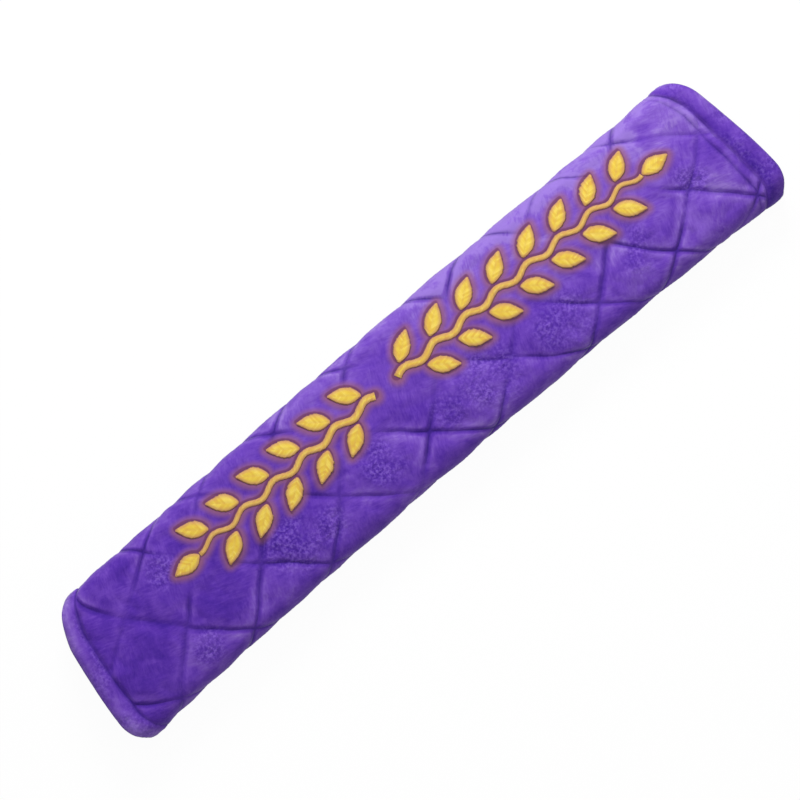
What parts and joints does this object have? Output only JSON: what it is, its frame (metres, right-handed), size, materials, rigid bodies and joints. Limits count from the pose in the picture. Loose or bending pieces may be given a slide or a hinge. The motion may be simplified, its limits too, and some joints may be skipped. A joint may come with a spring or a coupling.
{
  "type": "seat belt shoulder pad",
  "caption": "Quilted plush sleeve that wraps a seat belt at the shoulder and closes behind it with touch fastener tape, with a raised satin stitch leaf sprig along its face.",
  "frame": {"origin": "middle of the pad's box on the surface that it lies on, closure side down", "axes": "+X along the belt, +Y across it towards the edge that the ends lean to, +Z out of the embroidered face"},
  "size_m": [0.32, 0.0622, 0.0245],
  "materials": {
    "plush": "short pile polyester plush, quilted",
    "lining": "warp knitted tricot",
    "fastener_tape": "woven touch fastener tape",
    "satin_thread": "satin stitch rayon thread"
  },
  "bodies": {
    "root": {"quilted_panel": "plush", "lining": "lining", "hook_tape": "fastener_tape", "loop_tape": "fastener_tape", "embroidered_leaf_left_01": "satin_thread", "embroidered_leaf_left_02": "satin_thread", "embroidered_leaf_left_03": "satin_thread", "embroidered_leaf_left_04": "satin_thread", "embroidered_leaf_left_05": "satin_thread", "embroidered_leaf_left_06": "satin_thread", "embroidered_leaf_left_07": "satin_thread", "embroidered_leaf_left_08": "satin_thread", "embroidered_leaf_left_09": "satin_thread", "embroidered_leaf_left_10": "satin_thread", "embroidered_leaf_left_11": "satin_thread", "embroidered_leaf_left_12": "satin_thread", "embroidered_leaf_right_01": "satin_thread", "embroidered_leaf_right_02": "satin_thread", "embroidered_leaf_right_03": "satin_thread", "embroidered_leaf_right_04": "satin_thread", "embroidered_leaf_right_05": "satin_thread", "embroidered_leaf_right_06": "satin_thread", "embroidered_leaf_right_07": "satin_thread", "embroidered_leaf_right_08": "satin_thread", "embroidered_leaf_right_09": "satin_thread", "embroidered_leaf_right_10": "satin_thread", "embroidered_leaf_right_11": "satin_thread", "embroidered_leaf_right_12": "satin_thread", "embroidered_leaf_right_13": "satin_thread", "embroidered_leaf_right_14": "satin_thread", "embroidered_leaf_right_15": "satin_thread", "embroidered_leaf_right_16": "satin_thread", "embroidered_stem_left": "satin_thread", "embroidered_stem_right": "satin_thread"}
  },
  "joints": []
}
